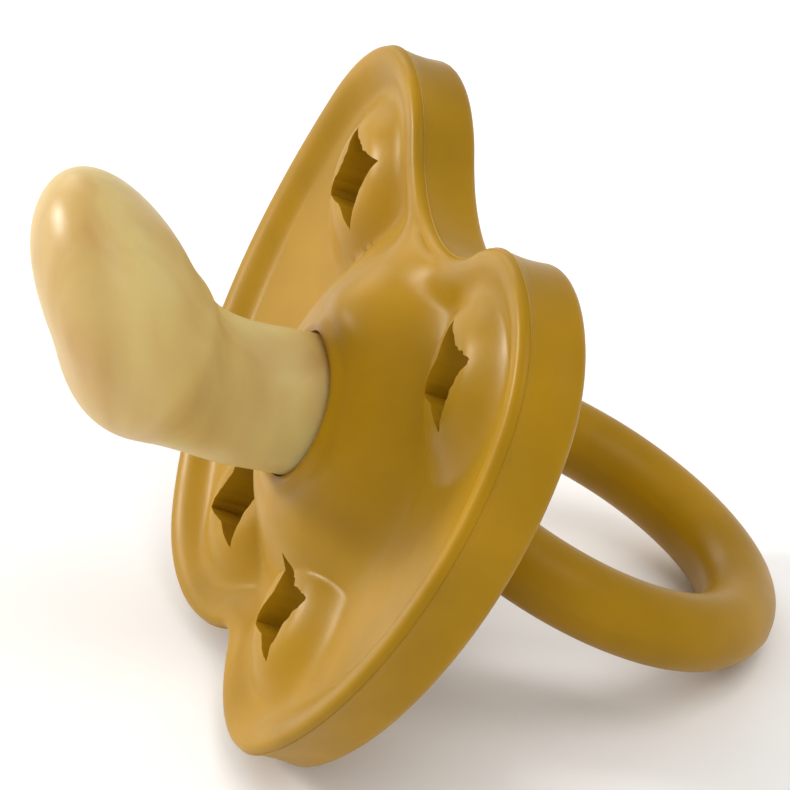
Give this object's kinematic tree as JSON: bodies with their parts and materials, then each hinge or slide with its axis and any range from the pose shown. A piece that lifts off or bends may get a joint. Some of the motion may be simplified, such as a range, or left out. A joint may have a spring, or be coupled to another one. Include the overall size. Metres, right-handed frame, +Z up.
{
  "type": "pacifier",
  "caption": "Natural rubber pacifier: hollow orthodontic teat, butterfly guard with four-pointed star vents, and a pull ring that swings in a knob behind the guard.",
  "frame": {"origin": "centre of the footprint, on the surface that the pacifier lies on", "axes": "+X across the wings, +Y from the teat to the ring, +Z up; the guard leans back 25.5 degrees and lies on its lower lobes and the ring"},
  "size_m": [0.053, 0.0496, 0.0386],
  "materials": {
    "guard_rubber": "satin, moulded, opaque mustard natural rubber",
    "teat_rubber": "soft gloss, translucent amber natural rubber",
    "plug_rubber": "satin, moulded, opaque mustard natural rubber",
    "ring_rubber": "satin, moulded, opaque mustard natural rubber"
  },
  "bodies": {
    "pacifier": {"guard": "guard_rubber", "teat": "teat_rubber", "plug": "plug_rubber", "knob_cap": "plug_rubber"},
    "ring": {"ring": "ring_rubber"}
  },
  "joints": [
    {"name": "ring_swing", "type": "hinge", "parent": "pacifier", "child": "ring", "pos_m": [0, 0.00019, 0.01583], "axis": [1, 0, 0], "range_deg": [-84, 90]}
  ]
}
